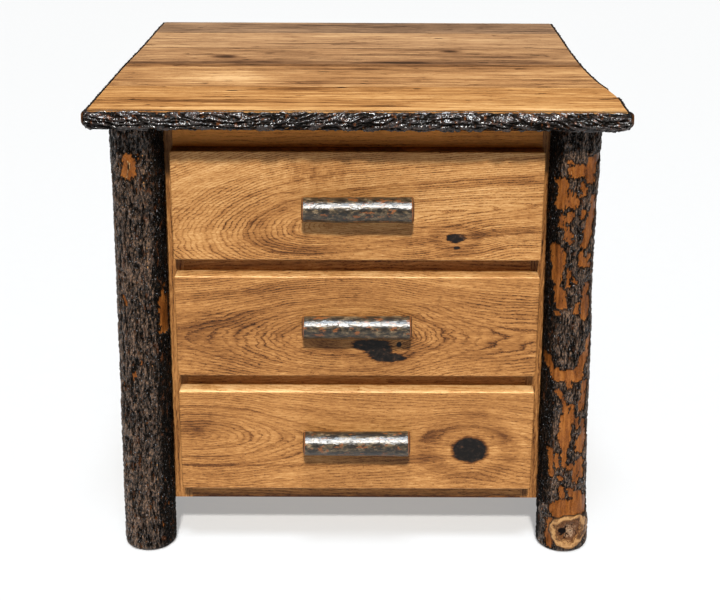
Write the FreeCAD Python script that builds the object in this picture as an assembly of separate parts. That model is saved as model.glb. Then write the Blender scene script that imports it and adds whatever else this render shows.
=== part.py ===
import FreeCAD, Part
import math
import os

# A three-drawer nightstand on four log legs, with a live-edge top. Millimetres.
# X runs to the right seen from the front, Y to the back and Z up.
# The origin is on the floor under the middle of the top.

# Overall sizes
height = 575.0
top_width = 610.0
top_depth = 560.0
top_thickness = 21.0

# The top: boards glued edge to edge, each a share of the depth, from the front to the back
board_shares = (0.232, 0.236, 0.186, 0.200, 0.146)

# Bark: thick along the front edge, where its face rolls back to the top and the underside,
# and thin down the sides
front_bark = 7.0
bark_roll = 3.5
bark_corner = 6.0
side_bark = 3.5

# The side edges draw in from the front corners. Each pair is the share of the depth, and the
# share of the full draw there.
edge_draw = 19.0
left_edge_shares = ((0, 0), (0.29, 0.22), (0.51, 0.43), (0.68, 0.66), (0.82, 0.76), (1, 0.92))
right_edge_shares = (
    (0, 0),
    (0.07, 0.06),
    (0.14, 0.03),
    (0.17, 0.1),
    (0.23, 0.35),
    (0.27, 0.53),
    (0.34, 0.74),
    (0.45, 0.91),
    (0.67, 1),
    (1, 0.98),
)
# The stretch of the right edge that has lost its bark, in shares of the depth
bare_edge_shares = (0.145, 0.225)

# Legs: logs with their bark on, a little wider at the foot, where they stand further out
leg_side_inset = 49.5
leg_end_inset = 64.0
leg_top_radius = 29.5
leg_foot_radius = 31.0
leg_lean = 6.3
foot_ease = 6.0
foot_steps = 3

# Each leg is notched round a corner of the case, this far in from the axis of the log
notch_side = 9.5
notch_end = 8.0
case_bottom = 56.5

# The case
panel_thickness = 19.0
frame_thickness = 20.0
stile_width = 38.0
back_thickness = 6.0
back_rabbet = 9.5
bottom_thickness = 12.0
bottom_groove = 6.0
bottom_lift = 13.5
back_rail_height = 60.0
back_rail_thickness = 19.0
cleat = 19.0

# Rails: what shows above, between and below the drawer fronts, and their tenons
top_reveal = 37.5
front_gap = 20.5
bottom_reveal = 23.0
tenon_length = 10.0
tenon_thickness = 8.0
tenon_shoulder = 6.0
top_rail_let_in = 8.0

# Drawer fronts lie over the frame on all four sides. Heights from the top drawer to the bottom one.
front_thickness = 21.0
front_overlay = 9.75
front_height_shares = (0.337, 0.326, 0.337)
front_corner = 3.0
front_ease = 1.8

# Drawer boxes
box_wall = 12.0
box_floor = 6.0
floor_groove = 6.0
floor_lift = 10.0
box_room_below = 10.0
box_room_above = 13.0
box_room_behind = 54.0
tail_count = 3
tail_share = 0.55
tail_slope_share = 0.14

# Slides: three nested channels
slide_height = 45.4
slide_thickness = 12.7
slide_wall = 1.2
slide_gap = 0.4
slide_setback = 3.0
packer_height = 45.0

# Pulls: lengths of branch with a flat planed on the back, from the top drawer to the bottom one
pull_length = 131.0
pull_radii = (15.0, 14.0, 15.0)
pull_rises = (0.3, 4.2, 2.8)
pull_taper = 0.8
pull_flat = 2.0
pull_ease = 2.5
pull_screw_spacing = 76.0

# Screws, and how much wider their holes are than they are
hole_gap = 0.1
leg_screw_radius = 2.5
leg_screw_head = 5.0
leg_screw_grip = 25.0
leg_screw_drop = 18.0
back_leg_screw_inset = 13.0
top_screw_radius = 2.0
top_screw_head = 4.0
top_screw_grip = 13.0
top_screw_count = 4
slide_screw_radius = 2.0
slide_screw_grip = 9.5
slide_screw_inset = 35.0
back_screw_radius = 1.5
back_screw_head = 3.0
back_screw_grip = 12.0
back_screw_height_shares = (0.1, 0.5, 0.9)
front_screw_radius = 2.0
front_screw_head = 4.2
front_screw_head_height = 2.4
front_screw_grip = 14.0
front_screw_side_inset = 45.0
front_screw_edge_inset = 22.0
pull_screw_grip = 15.0

# How near a place an edge has to lie to be taken as on it
edge_tolerance = 0.01

# Places that follow from the sizes
top_under = height - top_thickness
top_front = -top_depth / 2
top_back = top_depth / 2
leg_x = top_width / 2 - leg_side_inset
leg_y = top_depth / 2 - leg_end_inset
case_x = leg_x - notch_side
case_y = leg_y - notch_end
opening_x = case_x - stile_width
panel_x = case_x - panel_thickness
frame_back = -case_y + frame_thickness
back_front = case_y - back_thickness
front_face = -case_y - front_thickness
front_x = opening_x + front_overlay
box_x = opening_x - slide_thickness
box_inner_x = box_x - box_wall
box_back = back_front - box_room_behind
nest = slide_wall + slide_gap
lip_end = slide_thickness - nest
slide_front = -case_y + slide_setback
slide_back = box_back - slide_setback
fronts_height = top_under - case_bottom - top_reveal - bottom_reveal - 2 * front_gap
drawers = ("top", "middle", "bottom")
sides = {"left": -1, "right": 1}


def block(x, y, z):
    """A rectangular piece between two places on each axis, given in either order."""
    corner = FreeCAD.Vector(min(x), min(y), min(z))
    return Part.makeBox(max(x) - min(x), max(y) - min(y), max(z) - min(z), corner)


def prism(points, x):
    """A piece of one outline of (y, z) points all along X, from x[0] to x[1]."""
    corners = [FreeCAD.Vector(x[0], y, z) for y, z in points]
    face = Part.Face(Part.makePolygon(corners + corners[:1]))
    return face.extrude(FreeCAD.Vector(x[1] - x[0], 0, 0))


def countersunk(place, way, length, radius, head_radius, gap=0):
    """A screw whose flat head is flush with the surface at place. With a gap it is its hole."""
    head_height = head_radius - radius
    head = Part.makeCone(head_radius + gap, radius + gap, head_height, place, way)
    return head.fuse(Part.makeCylinder(radius + gap, length + gap, place, way))


def cut_all(piece, tools):
    """The piece with every one of the tools cut out of it."""
    for tool in tools:
        piece = piece.cut(tool)
    return piece


def export(name, *solids):
    """Writes one node: one piece, or a group of pieces of one kind."""
    shape = solids[0] if len(solids) == 1 else Part.makeCompound(list(solids))
    shape.exportStep("parts/" + name + ".step")


# Drawer openings, from the top drawer to the bottom one: the lowest and highest place of each
# front, of the opening behind it and of the box in it
front_spans = []
front_top = top_under - top_reveal
for share in front_height_shares:
    front_bottom = front_top - fronts_height * share
    front_spans.append((front_bottom, front_top))
    front_top = front_bottom - front_gap
opening_spans = [(low + front_overlay, high - front_overlay) for low, high in front_spans]
box_spans = [(low + box_room_below, high - box_room_above) for low, high in opening_spans]
slide_heights = [(low + high) / 2 for low, high in box_spans]


def edge_curve(side, shares, inward):
    """A side edge of the top, from the front to the back, or a line this far inside it."""
    points = []
    for along, draw in shares:
        x = side * (top_width / 2 - edge_draw * draw - inward)
        points.append(FreeCAD.Vector(x, top_front + top_depth * along, top_under))
    curve = Part.BSplineCurve()
    curve.interpolate(points)
    return curve.toShape()


def top_plate(inward):
    """The whole top with its side edges moved in."""
    left = edge_curve(-1, left_edge_shares, inward)
    right = edge_curve(1, right_edge_shares, inward)
    front = Part.makeLine(left.Vertexes[0].Point, right.Vertexes[0].Point)
    back = Part.makeLine(left.Vertexes[-1].Point, right.Vertexes[-1].Point)
    outline = Part.Wire(Part.__sortEdges__([front, right, back, left]))
    return Part.Face(outline).extrude(FreeCAD.Vector(0, 0, top_thickness))


def top_screws(gap=0):
    """The screws up through the two cleats into the boards."""
    found = []
    length = back_front - back_rail_thickness - frame_back
    for side in sides.values():
        for n in range(top_screw_count):
            y = frame_back + length * (n + 0.5) / top_screw_count
            place = FreeCAD.Vector(side * (panel_x - cleat / 2), y, top_under - cleat)
            up = FreeCAD.Vector(0, 0, 1)
            grip = cleat + top_screw_grip
            found.append(countersunk(place, up, grip, top_screw_radius, top_screw_head, gap))
    return found


def make_top():
    """The boards, the bark along their front and side edges, and the cleats and screws below."""
    across = (-top_width, top_width)
    tall = (top_under, height)
    wood = cut_all(top_plate(side_bark), top_screws(hole_gap))
    names = ("front", "second", "middle", "fourth", "back")
    start = top_front
    for name, share in zip(names, board_shares):
        end = start + top_depth * share
        seam = max(start, top_front + front_bark)
        export("top_board_" + name, wood.common(block(across, (seam, end), tall)).Solids[0])
        start = end

    bark_back = top_front + front_bark
    half = top_width / 2
    lower = FreeCAD.Vector(-half, top_front + bark_roll, top_under)
    middle = FreeCAD.Vector(-half, top_front, (top_under + height) / 2)
    upper = FreeCAD.Vector(-half, top_front + bark_roll, height)
    roll = Part.Arc(lower, middle, upper).toShape()
    rest = Part.makePolygon(
        [upper, FreeCAD.Vector(-half, bark_back, height), FreeCAD.Vector(-half, bark_back, top_under), lower]
    )
    section = Part.Face(Part.Wire([roll] + rest.Edges))
    strip = section.extrude(FreeCAD.Vector(top_width, 0, 0))
    ends = block((-half, half), (top_front, bark_back), tall)
    corners = [e for e in ends.Edges if all(abs(v.Y - top_front) < edge_tolerance for v in e.Vertexes)]
    corners = [e for e in corners if abs(e.Vertexes[0].Z - e.Vertexes[1].Z) > edge_tolerance]
    export("top_bark_front", strip.common(ends.makeFillet(bark_corner, corners)).Solids[0])

    rim = top_plate(0).cut(top_plate(side_bark))
    export("top_bark_left", rim.common(block((-top_width, 0), (bark_back, top_back), tall)).Solids[0])
    bare_front, bare_back = (top_front + top_depth * share for share in bare_edge_shares)
    near = rim.common(block((0, top_width), (bark_back, bare_front), tall)).Solids[0]
    far = rim.common(block((0, top_width), (bare_back, top_back), tall)).Solids[0]
    export("top_bark_right", near, far)

    cleats = []
    for side in sides.values():
        x = (side * (panel_x - cleat), side * panel_x)
        y = (frame_back, back_front - back_rail_thickness)
        cleats.append(cut_all(block(x, y, (top_under - cleat, top_under)), top_screws(hole_gap)))
    export("top_cleats", *cleats)
    export("top_screws", *top_screws())


def leg_screws(side, end, gap=0):
    """The screws out through a corner of the case into its leg, one at each drawer opening."""
    if end < 0:
        start = opening_x
        y = -case_y + frame_thickness / 2
    else:
        start = panel_x
        y = case_y - back_leg_screw_inset
    length = case_x - start + leg_screw_grip
    out = FreeCAD.Vector(side, 0, 0)
    found = []
    for low, high in opening_spans:
        place = FreeCAD.Vector(side * start, y, high - leg_screw_drop)
        found.append(countersunk(place, out, length, leg_screw_radius, leg_screw_head, gap))
    return found


def make_leg(side, end):
    """One log. side is -1 at the left, end is -1 at the front."""
    rings = []
    for step in range(foot_steps + 1):
        turn = math.radians(90) * step / foot_steps
        z = foot_ease * (1 - math.cos(turn))
        rings.append((z, leg_foot_radius - foot_ease * (1 - math.sin(turn))))
    rings.append((top_under, leg_top_radius))
    sections = []
    for z, radius in rings:
        x = side * (leg_x + leg_lean * (1 - z / top_under))
        centre = FreeCAD.Vector(x, end * leg_y, z)
        sections.append(Part.Wire(Part.makeCircle(radius, centre, FreeCAD.Vector(0, 0, 1))))
    log = Part.makeLoft(sections, True, True)
    notch = block((0, side * case_x), (0, end * case_y), (case_bottom, top_under))
    return cut_all(log.cut(notch), leg_screws(side, end, hole_gap))


def make_legs():
    screws = []
    for end_name, end in (("front", -1), ("back", 1)):
        for side_name, side in sides.items():
            export("leg_" + end_name + "_" + side_name, make_leg(side, end))
            screws += leg_screws(side, end)
    export("leg_screws", *screws)


def rail_tenons(low, high):
    """The tongue at each end of a rail, which the stiles are mortised for."""
    middle = -case_y + frame_thickness / 2
    y = (middle - tenon_thickness / 2, middle + tenon_thickness / 2)
    z = (low + tenon_shoulder, high - tenon_shoulder)
    reach = opening_x + tenon_length
    return [block((side * opening_x, side * reach), y, z) for side in sides.values()]


def make_frame():
    """Two stiles, with the top rail let into them and the other rails tenoned."""
    y = (-case_y, frame_back)
    let_in = opening_x + top_rail_let_in
    top_rail = block((-let_in, let_in), y, (opening_spans[0][1], top_under))
    export("top_rail", top_rail)
    lower_rails = (
        ("mid_rail_upper", opening_spans[1][1], opening_spans[0][0]),
        ("mid_rail_lower", opening_spans[2][1], opening_spans[1][0]),
        ("bottom_rail", case_bottom, opening_spans[2][0]),
    )
    mortises = [top_rail]
    for name, low, high in lower_rails:
        tenons = rail_tenons(low, high)
        rail = block((-opening_x, opening_x), y, (low, high))
        export(name, rail.fuse(tenons).removeSplitter())
        mortises += tenons
    for name, side in sides.items():
        stile = block((side * opening_x, side * case_x), y, (case_bottom, top_under))
        export("stile_" + name, cut_all(stile, mortises + leg_screws(side, -1, hole_gap)))


def slide_screw_row(x, z, way, gap):
    """Three screws along a slide, with their heads flush in its web. way is 1 towards +X."""
    head = slide_screw_radius + slide_wall
    grip = slide_wall + slide_screw_grip
    middle = (slide_front + slide_back) / 2
    found = []
    for y in (slide_front + slide_screw_inset, middle, slide_back - slide_screw_inset):
        place = FreeCAD.Vector(x, y, z)
        found.append(countersunk(place, FreeCAD.Vector(way, 0, 0), grip, slide_screw_radius, head, gap))
    return found


def slide_screws(gap=0):
    """The screws through the case members of the slides into the packing strips."""
    found = []
    for side in sides.values():
        for z in slide_heights:
            found += slide_screw_row(side * (opening_x - slide_wall), z, side, gap)
    return found


def back_screws(gap=0):
    """The screws from behind through the back panel into the side panels and the back rail."""
    places = []
    for side in sides.values():
        for share in back_screw_height_shares:
            z = case_bottom + (top_under - case_bottom) * share
            places.append((side * (panel_x + back_rabbet / 2), z))
        places.append((side * panel_x / 2, top_under - back_rail_height / 2))
    forwards = FreeCAD.Vector(0, -1, 0)
    grip = back_thickness + back_screw_grip
    found = []
    for x, z in places:
        place = FreeCAD.Vector(x, case_y, z)
        found.append(countersunk(place, forwards, grip, back_screw_radius, back_screw_head, gap))
    return found


def make_case():
    """Side panels, bottom, back, the rail inside the back and the strips behind the slides."""
    y = (frame_back, case_y)
    z = (case_bottom, top_under)
    back_holes = back_screws(hole_gap)
    back_x = panel_x + back_rabbet
    back = block((-back_x, back_x), (back_front, case_y), z)
    export("back_panel", cut_all(back, back_holes))
    export("back_screws", *back_screws())
    bottom_x = panel_x + bottom_groove
    bottom_z = case_bottom + bottom_lift
    bottom = block((-bottom_x, bottom_x), (frame_back, back_front), (bottom_z, bottom_z + bottom_thickness))
    export("bottom_panel", bottom)
    for name, side in sides.items():
        panel = block((side * panel_x, side * case_x), y, z)
        holes = leg_screws(side, 1, hole_gap) + back_holes
        export("side_panel_" + name, cut_all(panel, [back, bottom] + holes))
    rail_y = (back_front - back_rail_thickness, back_front)
    rail = block((-panel_x, panel_x), rail_y, (top_under - back_rail_height, top_under))
    export("back_rail", cut_all(rail, back_holes))
    packers = []
    for side in sides.values():
        for middle in slide_heights:
            strip_z = (middle - packer_height / 2, middle + packer_height / 2)
            strip = block((side * opening_x, side * panel_x), (frame_back, back_front), strip_z)
            packers.append(cut_all(strip, slide_screws(hole_gap)))
    export("slide_packers", *packers)
    export("slide_screws", *slide_screws())


def channel(side, web, lips, middle, half_height):
    """One slide member. web and lips are how far its web and the ends of its lips lie from the
    side of the opening, and the channel is open towards its lips."""
    y = (slide_front, slide_back)
    inward = math.copysign(slide_wall, lips - web)
    x = (side * (opening_x - web), side * (opening_x - lips))
    outer = block(x, y, (middle - half_height, middle + half_height))
    inner_x = (side * (opening_x - web - inward), side * (opening_x - lips))
    inner_z = (middle - half_height + slide_wall, middle + half_height - slide_wall)
    return outer.cut(block(inner_x, y, inner_z))


def make_case_slides():
    """The case members of all the slides."""
    members = []
    for side in sides.values():
        for z in slide_heights:
            member = channel(side, 0, lip_end, z, slide_height / 2)
            members.append(cut_all(member, slide_screws(hole_gap)))
    export("slide_case_members", *members)


def tails(x, end, root, low, high):
    """The dovetails at the end of a drawer side: wide at the end, narrow at the root."""
    pitch = (high - low) / tail_count
    narrow = pitch * tail_share / 2
    wide = narrow + abs(end - root) * tail_slope_share
    found = []
    for n in range(tail_count):
        middle = low + pitch * (n + 0.5)
        below = [(root, middle - narrow), (end, middle - wide)]
        above = [(end, middle + wide), (root, middle + narrow)]
        found.append(prism(below + above, x))
    return found


def front_board(low, high):
    """A solid drawer front with its corners rounded and the edges of its face eased."""
    board = block((-front_x, front_x), (front_face, -case_y), (low, high))
    across = [e for e in board.Edges if abs(e.Vertexes[0].Y - e.Vertexes[1].Y) > front_ease]
    board = board.makeFillet(front_corner, across)
    rim = [e for e in board.Edges if all(abs(v.Y - front_face) < edge_tolerance for v in e.Vertexes)]
    return board.makeFillet(front_ease, rim)


def make_pull(radius, middle):
    """A length of branch lying along X, with its flat back on the drawer front."""
    y = front_face - radius + pull_flat
    start = FreeCAD.Vector(-pull_length / 2, y, middle)
    along = FreeCAD.Vector(1, 0, 0)
    thin = radius - pull_taper / 2
    thick = radius + pull_taper / 2
    branch = Part.makeCone(thin, thick, pull_length, start, along)
    ends = [e for e in branch.Edges if len(e.Vertexes) == 1]
    branch = branch.makeFillet(pull_ease, ends)
    reach = (-pull_length, pull_length)
    return branch.cut(block(reach, (front_face, 0), (middle - pull_length, middle + pull_length)))


def pan_head(place, length, gap):
    """A screw pointing to the front, with its head inside the box front. With a gap it is its hole."""
    way = FreeCAD.Vector(0, -1, 0)
    head_place = place - way * front_screw_head_height
    head = Part.makeCylinder(front_screw_head + gap, front_screw_head_height, head_place, way)
    return head.fuse(Part.makeCylinder(front_screw_radius + gap, length + gap, place, way))


def front_screws(low, high, pull_z, gap=0):
    """The screws through a box front: two into the pull and four into the drawer front."""
    inner_face = -case_y + box_wall
    through = box_wall + front_thickness
    found = []
    for side in sides.values():
        place = FreeCAD.Vector(side * pull_screw_spacing / 2, inner_face, pull_z)
        found.append(pan_head(place, through + pull_screw_grip, gap))
        for z in (low + front_screw_edge_inset, high - front_screw_edge_inset):
            place = FreeCAD.Vector(side * (box_inner_x - front_screw_side_inset), inner_face, z)
            found.append(pan_head(place, box_wall + front_screw_grip, gap))
    return found


def make_drawer(name, front_span, box_span, slide_z, pull_radius, pull_rise):
    """One drawer: front, pull, dovetailed box, its slide members and its screws."""
    low, high = box_span
    pull_z = sum(front_span) / 2 + pull_rise
    inner_face = -case_y + box_wall
    floor_z = (low + floor_lift, low + floor_lift + box_floor)
    groove_x = box_inner_x + floor_groove
    floor = block((-groove_x, groove_x), (inner_face - floor_groove, box_back), floor_z)
    holes = front_screws(low, high, pull_z, hole_gap)
    screws = front_screws(low, high, pull_z)

    box_front = block((-box_x, box_x), (-case_y, inner_face), box_span)
    box_end = block((-box_x, box_x), (box_back - box_wall, box_back), (floor_z[1], high))
    for side in sides.values():
        x = (side * box_inner_x, side * box_x)
        box_front = cut_all(box_front, tails(x, -case_y, inner_face, low, high))
        box_end = cut_all(box_end, tails(x, box_back, box_back - box_wall, floor_z[1], high))
    box_front = cut_all(box_front, [floor] + holes)

    inner_slides = []
    middle_slides = []
    for side_name, side in sides.items():
        web_x = side * (box_x + slide_wall)
        side_holes = slide_screw_row(web_x, slide_z, -side, hole_gap)
        board = block((side * box_inner_x, side * box_x), (-case_y, box_back), box_span)
        board = cut_all(board, [box_front, box_end, floor] + side_holes)
        export("drawer_" + name + "_side_" + side_name, board)
        inner = channel(side, slide_thickness, 2 * nest, slide_z, slide_height / 2 - 2 * nest)
        inner_slides.append(cut_all(inner, side_holes))
        middle_slides.append(channel(side, nest, lip_end, slide_z, slide_height / 2 - nest))
        screws += slide_screw_row(web_x, slide_z, -side, 0)

    export("drawer_" + name + "_front", cut_all(front_board(*front_span), holes))
    export("drawer_" + name + "_pull", cut_all(make_pull(pull_radius, pull_z), holes))
    export("drawer_" + name + "_box_front", box_front)
    export("drawer_" + name + "_box_back", box_end)
    export("drawer_" + name + "_bottom", floor)
    export("drawer_" + name + "_slide_middle", *middle_slides)
    export("drawer_" + name + "_slide_inner", *inner_slides)
    export("drawer_" + name + "_screws", *screws)


os.makedirs("parts", exist_ok=True)
make_top()
make_legs()
make_frame()
make_case()
make_case_slides()
for row in zip(drawers, front_spans, box_spans, slide_heights, pull_radii, pull_rises):
    make_drawer(*row)
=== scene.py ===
import math

import bmesh
import bpy
from mathutils import Matrix, Vector, noise


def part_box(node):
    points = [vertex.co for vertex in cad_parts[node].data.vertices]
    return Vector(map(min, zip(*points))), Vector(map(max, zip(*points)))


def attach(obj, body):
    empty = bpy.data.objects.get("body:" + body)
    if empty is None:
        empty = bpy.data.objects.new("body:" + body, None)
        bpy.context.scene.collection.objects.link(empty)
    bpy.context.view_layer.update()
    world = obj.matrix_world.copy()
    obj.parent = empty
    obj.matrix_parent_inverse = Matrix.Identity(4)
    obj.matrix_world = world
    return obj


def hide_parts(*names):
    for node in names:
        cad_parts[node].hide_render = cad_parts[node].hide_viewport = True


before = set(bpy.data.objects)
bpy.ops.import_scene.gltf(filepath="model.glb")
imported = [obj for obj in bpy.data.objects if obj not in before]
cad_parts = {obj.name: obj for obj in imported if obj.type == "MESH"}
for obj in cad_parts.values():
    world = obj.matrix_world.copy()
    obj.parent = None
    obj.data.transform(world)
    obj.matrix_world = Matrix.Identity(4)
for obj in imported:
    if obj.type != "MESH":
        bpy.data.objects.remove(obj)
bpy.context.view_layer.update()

# The photograph's view. The camera stands 1.8 m in front of the nightstand, above its top, and
# looks down at it. Its line of sight meets the picture on sight_row, above the middle row.
photo_width = 720
photo_height = 600
sight_row = 250
focal_pixels = 1439.8
sensor_width = 36
camera_place = Vector((0.0001, -1.837, 0.9518))
camera_tilt = math.radians(19.056)
camera_turn = math.radians(0.114)
camera_roll = math.radians(0.238)
camera_data = bpy.data.cameras.new("camera")
camera_data.sensor_width = sensor_width
camera_data.lens = sensor_width * focal_pixels / photo_width
camera_data.shift_y = (sight_row - photo_height / 2) / photo_width
camera = bpy.data.objects.new("camera", camera_data)
bpy.context.scene.collection.objects.link(camera)
facing = Matrix.Rotation(-camera_turn, 4, "Z") @ Matrix.Rotation(math.pi / 2 - camera_tilt, 4, "X")
roll = Matrix.Rotation(camera_roll, 4, "Z")
camera.matrix_world = Matrix.Translation(camera_place) @ facing @ roll
bpy.context.scene.camera = camera
bpy.context.scene.view_settings.view_transform = "Standard"

# Studio light: a small lamp high in front, which throws the shadows under the top and the pulls, a
# broad soft one overhead, two tall panels, one above the other, that the lacquer mirrors, and walls
# that give back a little warm light.
def distant_lamp(name, strength, spread, rise, colour):
    """A lamp far in front of the nightstand. rise is its height above the level, and spread how
    broad it looks from there, both in degrees."""
    data = bpy.data.lights.new(name, "SUN")
    data.energy = strength
    data.angle = math.radians(spread)
    data.color = colour
    lamp = bpy.data.objects.new(name, data)
    bpy.context.scene.collection.objects.link(lamp)
    lamp.rotation_euler = (math.pi / 2 - math.radians(rise), 0, 0)


distant_lamp("key_lamp", 5.6, 5, 46.5, (1, 0.965, 0.91))
distant_lamp("overhead_lamp", 3.0, 16, 72, (0.84, 0.92, 1))
panel_aim = Vector((0, -0.25, 0.4))
panel_distance = 2.5
panel_width = 0.4
panel_height = 1.0
panel_power = 9
panel_colour = (0.78, 0.89, 1)
panel_rises = (48, 78)
for number, degrees in enumerate(panel_rises):
    panel_rise = math.radians(degrees)
    panel_data = bpy.data.lights.new("panel_%d" % number, "AREA")
    panel_data.shape = "RECTANGLE"
    panel_data.size = panel_width
    panel_data.size_y = panel_height
    panel_data.energy = panel_power
    panel_data.color = panel_colour
    panel = bpy.data.objects.new("panel_%d" % number, panel_data)
    bpy.context.scene.collection.objects.link(panel)
    back = Vector((0, -math.cos(panel_rise), math.sin(panel_rise)))
    panel.location = panel_aim + back * panel_distance
    panel.rotation_euler = (math.pi / 2 - panel_rise, 0, 0)
wall_colour = (1, 0.96, 0.92, 1)
wall_light = 0.06
world = bpy.data.worlds.new("studio_walls")
bpy.context.scene.world = world
world.use_nodes = True
world.node_tree.nodes["Background"].inputs["Color"].default_value = wall_colour
world.node_tree.nodes["Background"].inputs["Strength"].default_value = wall_light


# The floor is a plain pale sheet of milky plastic, lit a little from below. It is laid flat under
# the nightstand and runs past the picture on all sides.
class Socket:
    """One output of a finish's nodes. Sums with it are worked out by Math nodes."""

    def __init__(self, finish, output):
        self.finish = finish
        self.output = output

    def math(self, operation, *values):
        """One Math node, on the values given or on this one alone."""
        inputs = dict(enumerate(values or (self,)))
        return self.finish.node("ShaderNodeMath", {"operation": operation}, inputs)

    def __add__(self, other):
        return self.math("ADD", self, other)

    __radd__ = __add__

    def __sub__(self, other):
        return self.math("SUBTRACT", self, other)

    def __rsub__(self, other):
        return self.math("SUBTRACT", other, self)

    def __mul__(self, other):
        return self.math("MULTIPLY", self, other)

    __rmul__ = __mul__

    def __truediv__(self, other):
        return self.math("DIVIDE", self, other)

    def __pow__(self, other):
        return self.math("POWER", self, other)

    def step(self, low, high):
        """0 below low, 1 above high and a smooth rise between them."""
        settings = {"interpolation_type": "SMOOTHSTEP"}
        values = {"Value": self, "From Min": low, "From Max": high}
        return self.finish.node("ShaderNodeMapRange", settings, values)


class Finish:
    """A material and the nodes that give it its colour and its surface."""

    def __init__(self, name):
        self.material = bpy.data.materials.new(name)
        self.material.use_nodes = True
        self.tree = self.material.node_tree
        self.tree.nodes.clear()

    def node(self, kind, settings=None, values=None, output=0):
        """Adds a node of a kind, with its settings, and the values or links of its sockets."""
        made = self.tree.nodes.new(kind)
        for key, value in (settings or {}).items():
            if key == "stops":
                elements = made.color_ramp.elements
                elements.remove(elements[1])
                elements[0].position = value[0][0]
                elements[0].color = (*value[0][1], 1)
                for stop, colour in value[1:]:
                    elements.new(stop).color = (*colour, 1)
            else:
                setattr(made, key, value)
        for key, value in (values or {}).items():
            socket = made.inputs[key]
            if isinstance(value, Socket):
                self.tree.links.new(value.output, socket)
            elif socket.type == "RGBA":
                socket.default_value = (*value, 1)
            else:
                socket.default_value = value
        return Socket(self, made.outputs[output]) if made.outputs else None

    def places(self):
        """The place on the nightstand along X, Y and Z, in metres."""
        place = self.node("ShaderNodeTexCoord", output="Object")
        return [self.node("ShaderNodeSeparateXYZ", {}, {0: place}, axis) for axis in "XYZ"]

    def noise(self, x, y, z, detail=2.0, roughness=0.5):
        """Cloudy values from 0 to 1, one cloud to each unit of x, y and z."""
        point = self.node("ShaderNodeCombineXYZ", {}, {"X": x, "Y": y, "Z": z})
        values = {"Vector": point, "Scale": 1.0, "Detail": detail, "Roughness": roughness}
        return self.node("ShaderNodeTexNoise", {}, values)

    def mark(self, name):
        """A value that the mesh holds at each of its points."""
        return self.node("ShaderNodeAttribute", {"attribute_name": name}, output="Fac")

    def ramp(self, value, stops):
        """The colour that a value has on a ramp from stop to stop."""
        return self.node("ShaderNodeValToRGB", {"stops": stops}, {0: value})

    def mix(self, share, first, second):
        """The first colour where share is 0, and the second where it is 1."""
        settings = {"data_type": "RGBA"}
        return self.node("ShaderNodeMix", settings, {0: share, 6: first, 7: second}, 2)

    def surface(self, colour, roughness, height=None, depth=0.0005, lacquer=0.0, **constants):
        """Ends the finish with one shader. height is the fine relief, and depth its size in metres.
        lacquer is how much clear lacquer lies over it."""
        values = {"Base Color": colour, "Roughness": roughness, "Coat Weight": lacquer}
        if height is not None:
            bump = {"Height": height, "Distance": depth}
            values["Normal"] = self.node("ShaderNodeBump", {}, bump)
        shader = self.node("ShaderNodeBsdfPrincipled", {}, values)
        for key, value in constants.items():
            socket = key.replace("_", " ").title().replace("Ior", "IOR")
            shader.output.node.inputs[socket].default_value = value
        self.node("ShaderNodeOutputMaterial", {}, {"Surface": shader})
        return self.material


floor_side = 14
floor_dark = (0.293, 0.293, 0.294)
floor_light = (0.303, 0.303, 0.304)
floor_glow = dict(emission_color=(1, 1, 1, 1), emission_strength=0.33)
bpy.ops.object.select_all(action="DESELECT")
bpy.ops.mesh.primitive_plane_add(size=floor_side, location=(0, 0, 0))
floor = bpy.context.object
floor.name = "studio_floor"
milky = Finish("milky_floor")
floor_x, floor_y, floor_z = milky.places()
mottle = milky.noise(floor_x * 40, floor_y * 40, floor_z)
pale = milky.ramp(mottle, [(0, floor_dark), (1, floor_light)])
floor.data.materials.append(milky.surface(pale, 0.9, specular_ior_level=0.1, **floor_glow))


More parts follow.
